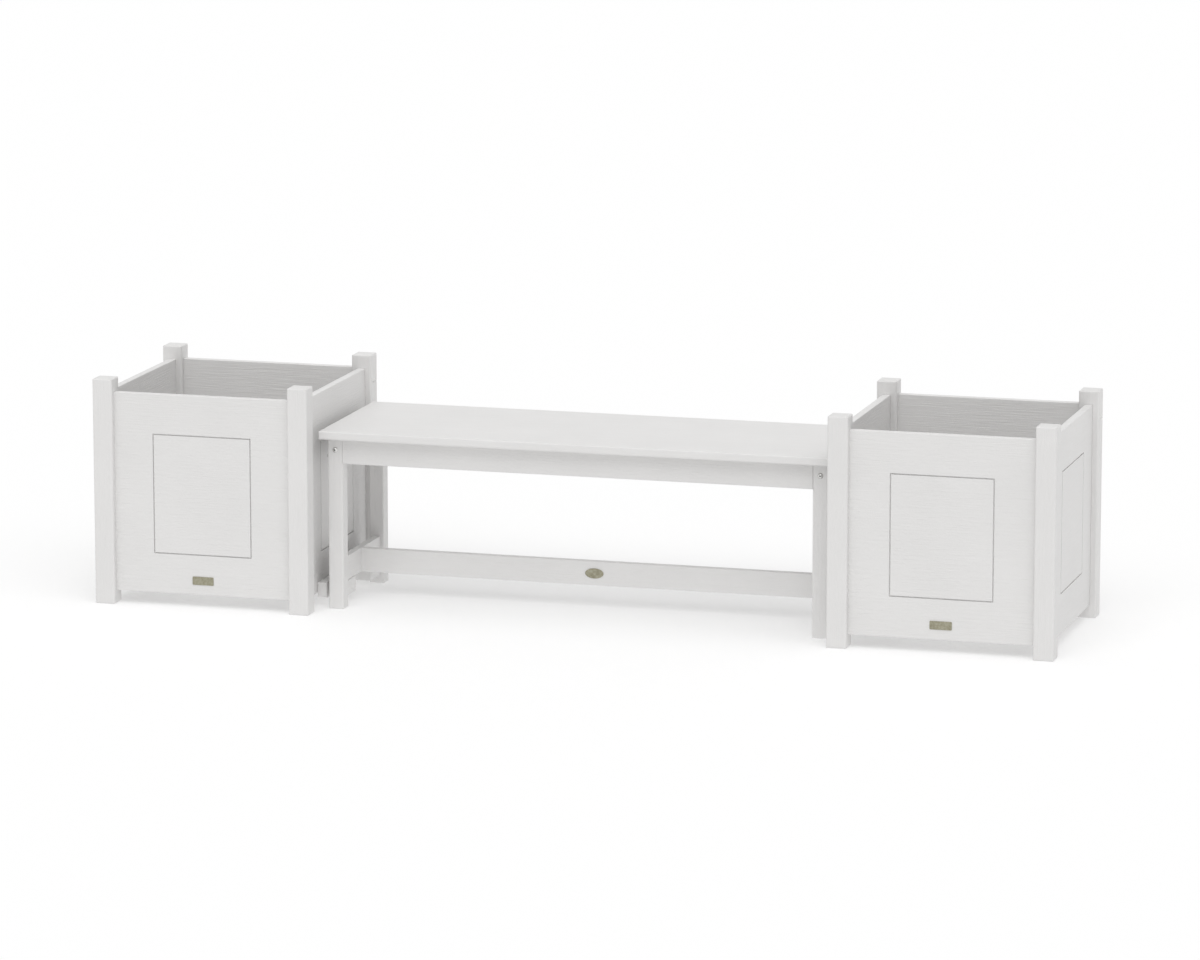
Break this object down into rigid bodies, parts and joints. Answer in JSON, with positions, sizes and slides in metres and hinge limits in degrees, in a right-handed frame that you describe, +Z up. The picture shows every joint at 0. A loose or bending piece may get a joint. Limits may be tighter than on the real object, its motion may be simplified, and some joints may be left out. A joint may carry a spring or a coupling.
{
  "type": "bench with planter",
  "caption": "White poly-lumber garden bench joined at each end to a square panelled planter box, with low notched blocks and a long stretcher",
  "frame": {"origin": "middle of the whole set seen from above, on the ground", "axes": "+X along the set from the left planter to the right one as seen from the front, +Y to the rear, +Z up; the oblong and oval plates face -Y"},
  "size_m": [2.437, 0.5588, 0.568],
  "materials": {
    "white_lumber": "white recycled plastic lumber, solid colour, satin with a faint drawn grain, eased edges",
    "bronze_plate": "cast plate with an aged bronze finish, plain field inside a raised rim",
    "steel_fastener": "stainless steel, satin"
  },
  "bodies": {
    "root": {"left_planter_front_outer_post": "white_lumber", "left_planter_front_inner_post": "white_lumber", "left_planter_rear_outer_post": "white_lumber", "left_planter_rear_inner_post": "white_lumber", "left_planter_front_panel": "white_lumber", "left_planter_rear_panel": "white_lumber", "left_planter_outer_panel": "white_lumber", "left_planter_inner_panel": "white_lumber", "left_planter_outer_cleat": "white_lumber", "left_planter_inner_cleat": "white_lumber", "left_planter_front_slat": "white_lumber", "left_planter_middle_slat": "white_lumber", "left_planter_rear_slat": "white_lumber", "left_planter_nameplate": "bronze_plate", "left_planter_lock_screws": "steel_fastener", "left_planter_cleat_screws": "steel_fastener", "left_planter_front_connector": "white_lumber", "left_planter_rear_connector": "white_lumber", "left_planter_connector_screws": "steel_fastener", "right_planter_front_outer_post": "white_lumber", "right_planter_front_inner_post": "white_lumber", "right_planter_rear_outer_post": "white_lumber", "right_planter_rear_inner_post": "white_lumber", "right_planter_front_panel": "white_lumber", "right_planter_rear_panel": "white_lumber", "right_planter_outer_panel": "white_lumber", "right_planter_inner_panel": "white_lumber", "right_planter_outer_cleat": "white_lumber", "right_planter_inner_cleat": "white_lumber", "right_planter_front_slat": "white_lumber", "right_planter_middle_slat": "white_lumber", "right_planter_rear_slat": "white_lumber", "right_planter_nameplate": "bronze_plate", "right_planter_lock_screws": "steel_fastener", "right_planter_cleat_screws": "steel_fastener", "right_planter_front_connector": "white_lumber", "right_planter_rear_connector": "white_lumber", "right_planter_connector_screws": "steel_fastener", "seat_board": "white_lumber", "front_apron": "white_lumber", "rear_apron": "white_lumber", "left_end_apron": "white_lumber", "right_end_apron": "white_lumber", "front_seat_batten": "white_lumber", "rear_seat_batten": "white_lumber", "seat_cross_rail": "white_lumber", "front_left_leg": "white_lumber", "front_right_leg": "white_lumber", "rear_left_leg": "white_lumber", "rear_right_leg": "white_lumber", "left_end_stretcher": "white_lumber", "right_end_stretcher": "white_lumber", "long_stretcher": "white_lumber", "oval_plate": "bronze_plate", "leg_bolts": "steel_fastener", "stretcher_screws": "steel_fastener", "seat_screws": "steel_fastener", "link_screws": "steel_fastener"}
  },
  "joints": []
}
